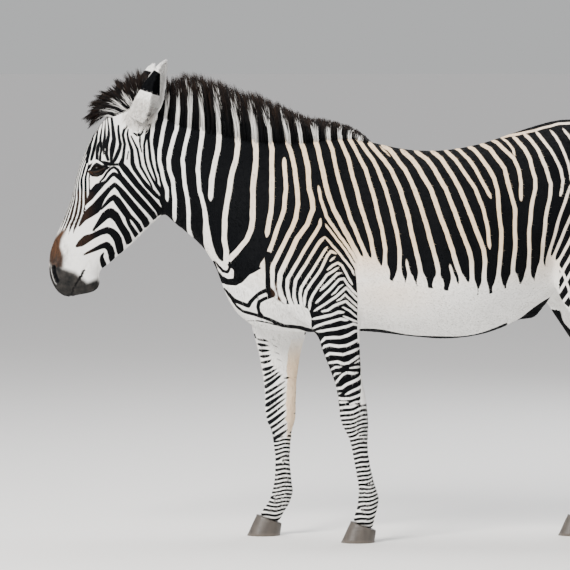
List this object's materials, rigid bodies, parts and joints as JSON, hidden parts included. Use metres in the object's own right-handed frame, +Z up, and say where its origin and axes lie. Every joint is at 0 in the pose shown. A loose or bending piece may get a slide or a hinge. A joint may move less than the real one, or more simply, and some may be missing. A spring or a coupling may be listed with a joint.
{
  "type": "grevy's zebra",
  "caption": "Life-size Grevy's zebra stallion standing with its head lowered to graze, with an erect mane, cupped ears, a tufted tail and flat-soled hooves.",
  "frame": {"origin": "on the floor under the centre of the animal's overall box", "axes": "+Z up; the head is towards -X and the tail towards +X; the animal's left side is towards -Y"},
  "size_m": [2.2392, 0.5644, 1.708],
  "materials": {
    "coat": "short flat fur in black stripes on cream, white below",
    "mane_hair": "stiff upright hair, striped at the roots and black at the tips",
    "tail_hair": "long coarse black hair",
    "eye": "wet, glossy dark brown",
    "hoof": "dull grey-black horn with fine growth rings"
  },
  "bodies": {
    "root": {"head": "coat", "neck": "coat", "trunk": "coat", "tail": "coat", "ear_left": "coat", "ear_right": "coat", "foreleg_left_upper": "coat", "foreleg_left_lower": "coat", "foreleg_right_upper": "coat", "foreleg_right_lower": "coat", "hindleg_left_upper": "coat", "hindleg_left_lower": "coat", "hindleg_right_upper": "coat", "hindleg_right_lower": "coat", "mane": "mane_hair", "forelock": "mane_hair", "tail_tuft": "tail_hair", "eye_left": "eye", "eye_right": "eye", "hoof_front_left": "hoof", "hoof_front_right": "hoof", "hoof_rear_left": "hoof", "hoof_rear_right": "hoof"}
  },
  "joints": []
}
